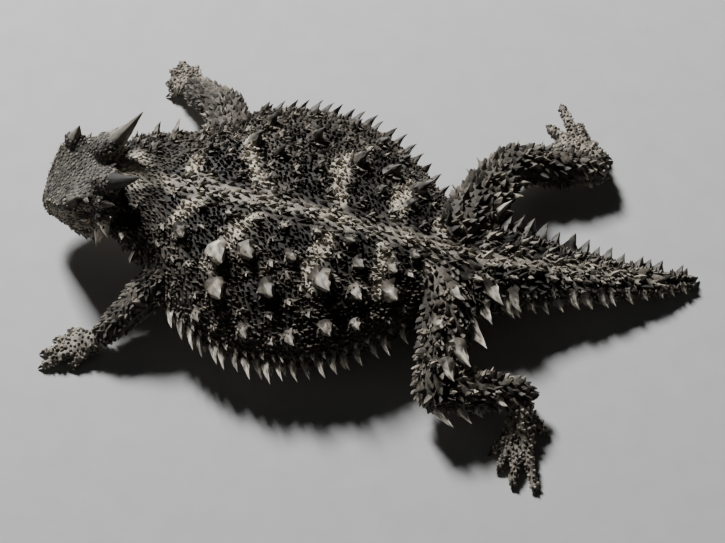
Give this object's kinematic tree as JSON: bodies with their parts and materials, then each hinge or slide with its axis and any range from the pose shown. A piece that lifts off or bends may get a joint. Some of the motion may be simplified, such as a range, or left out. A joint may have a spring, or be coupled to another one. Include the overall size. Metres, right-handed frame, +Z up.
{
  "type": "horned lizard",
  "caption": "Life-size museum model of a horned lizard lying flat with its head bowed, limbs spread and tail bent to one side.",
  "frame": {"origin": "middle of the bounding box at the floor that the belly, feet and tail rest on", "axes": "+X along the trunk towards the tail, -X towards the head, -Y towards the animal's left side, +Z up from the floor"},
  "size_m": [0.139, 0.0978, 0.0291],
  "materials": {
    "eye_left": "wet dark eye",
    "eye_right": "wet dark eye",
    "head": "dry granular hide",
    "horn_brow_left": "dry horn",
    "horn_brow_right": "dry horn",
    "horn_occipital_left": "dry horn",
    "horn_occipital_right": "dry horn",
    "horn_temple_front_left": "dry horn",
    "horn_temple_front_right": "dry horn",
    "horn_temple_middle_left": "dry horn",
    "horn_temple_middle_right": "dry horn",
    "horn_temple_rear_left": "dry horn",
    "horn_temple_rear_right": "dry horn",
    "jaw": "dry granular hide",
    "left_front_forearm": "dry granular hide",
    "left_front_hand": "dry granular hide",
    "left_front_upper_arm": "dry granular hide",
    "left_rear_foot": "dry granular hide",
    "left_rear_shank": "dry granular hide",
    "left_rear_thigh": "dry granular hide",
    "neck": "dry granular hide",
    "right_front_forearm": "dry granular hide",
    "right_front_hand": "dry granular hide",
    "right_front_upper_arm": "dry granular hide",
    "right_rear_foot": "dry granular hide",
    "right_rear_shank": "dry granular hide",
    "right_rear_thigh": "dry granular hide",
    "tail_base": "dry granular hide",
    "tail_tip": "dry granular hide",
    "torso": "dry granular hide"
  },
  "bodies": {
    "root": {"eye_left": "eye_left", "eye_right": "eye_right", "head": "head", "horn_brow_left": "horn_brow_left", "horn_brow_right": "horn_brow_right", "horn_occipital_left": "horn_occipital_left", "horn_occipital_right": "horn_occipital_right", "horn_temple_front_left": "horn_temple_front_left", "horn_temple_front_right": "horn_temple_front_right", "horn_temple_middle_left": "horn_temple_middle_left", "horn_temple_middle_right": "horn_temple_middle_right", "horn_temple_rear_left": "horn_temple_rear_left", "horn_temple_rear_right": "horn_temple_rear_right", "jaw": "jaw", "left_front_forearm": "left_front_forearm", "left_front_hand": "left_front_hand", "left_front_upper_arm": "left_front_upper_arm", "left_rear_foot": "left_rear_foot", "left_rear_shank": "left_rear_shank", "left_rear_thigh": "left_rear_thigh", "neck": "neck", "right_front_forearm": "right_front_forearm", "right_front_hand": "right_front_hand", "right_front_upper_arm": "right_front_upper_arm", "right_rear_foot": "right_rear_foot", "right_rear_shank": "right_rear_shank", "right_rear_thigh": "right_rear_thigh", "tail_base": "tail_base", "tail_tip": "tail_tip", "torso": "torso"}
  },
  "joints": []
}
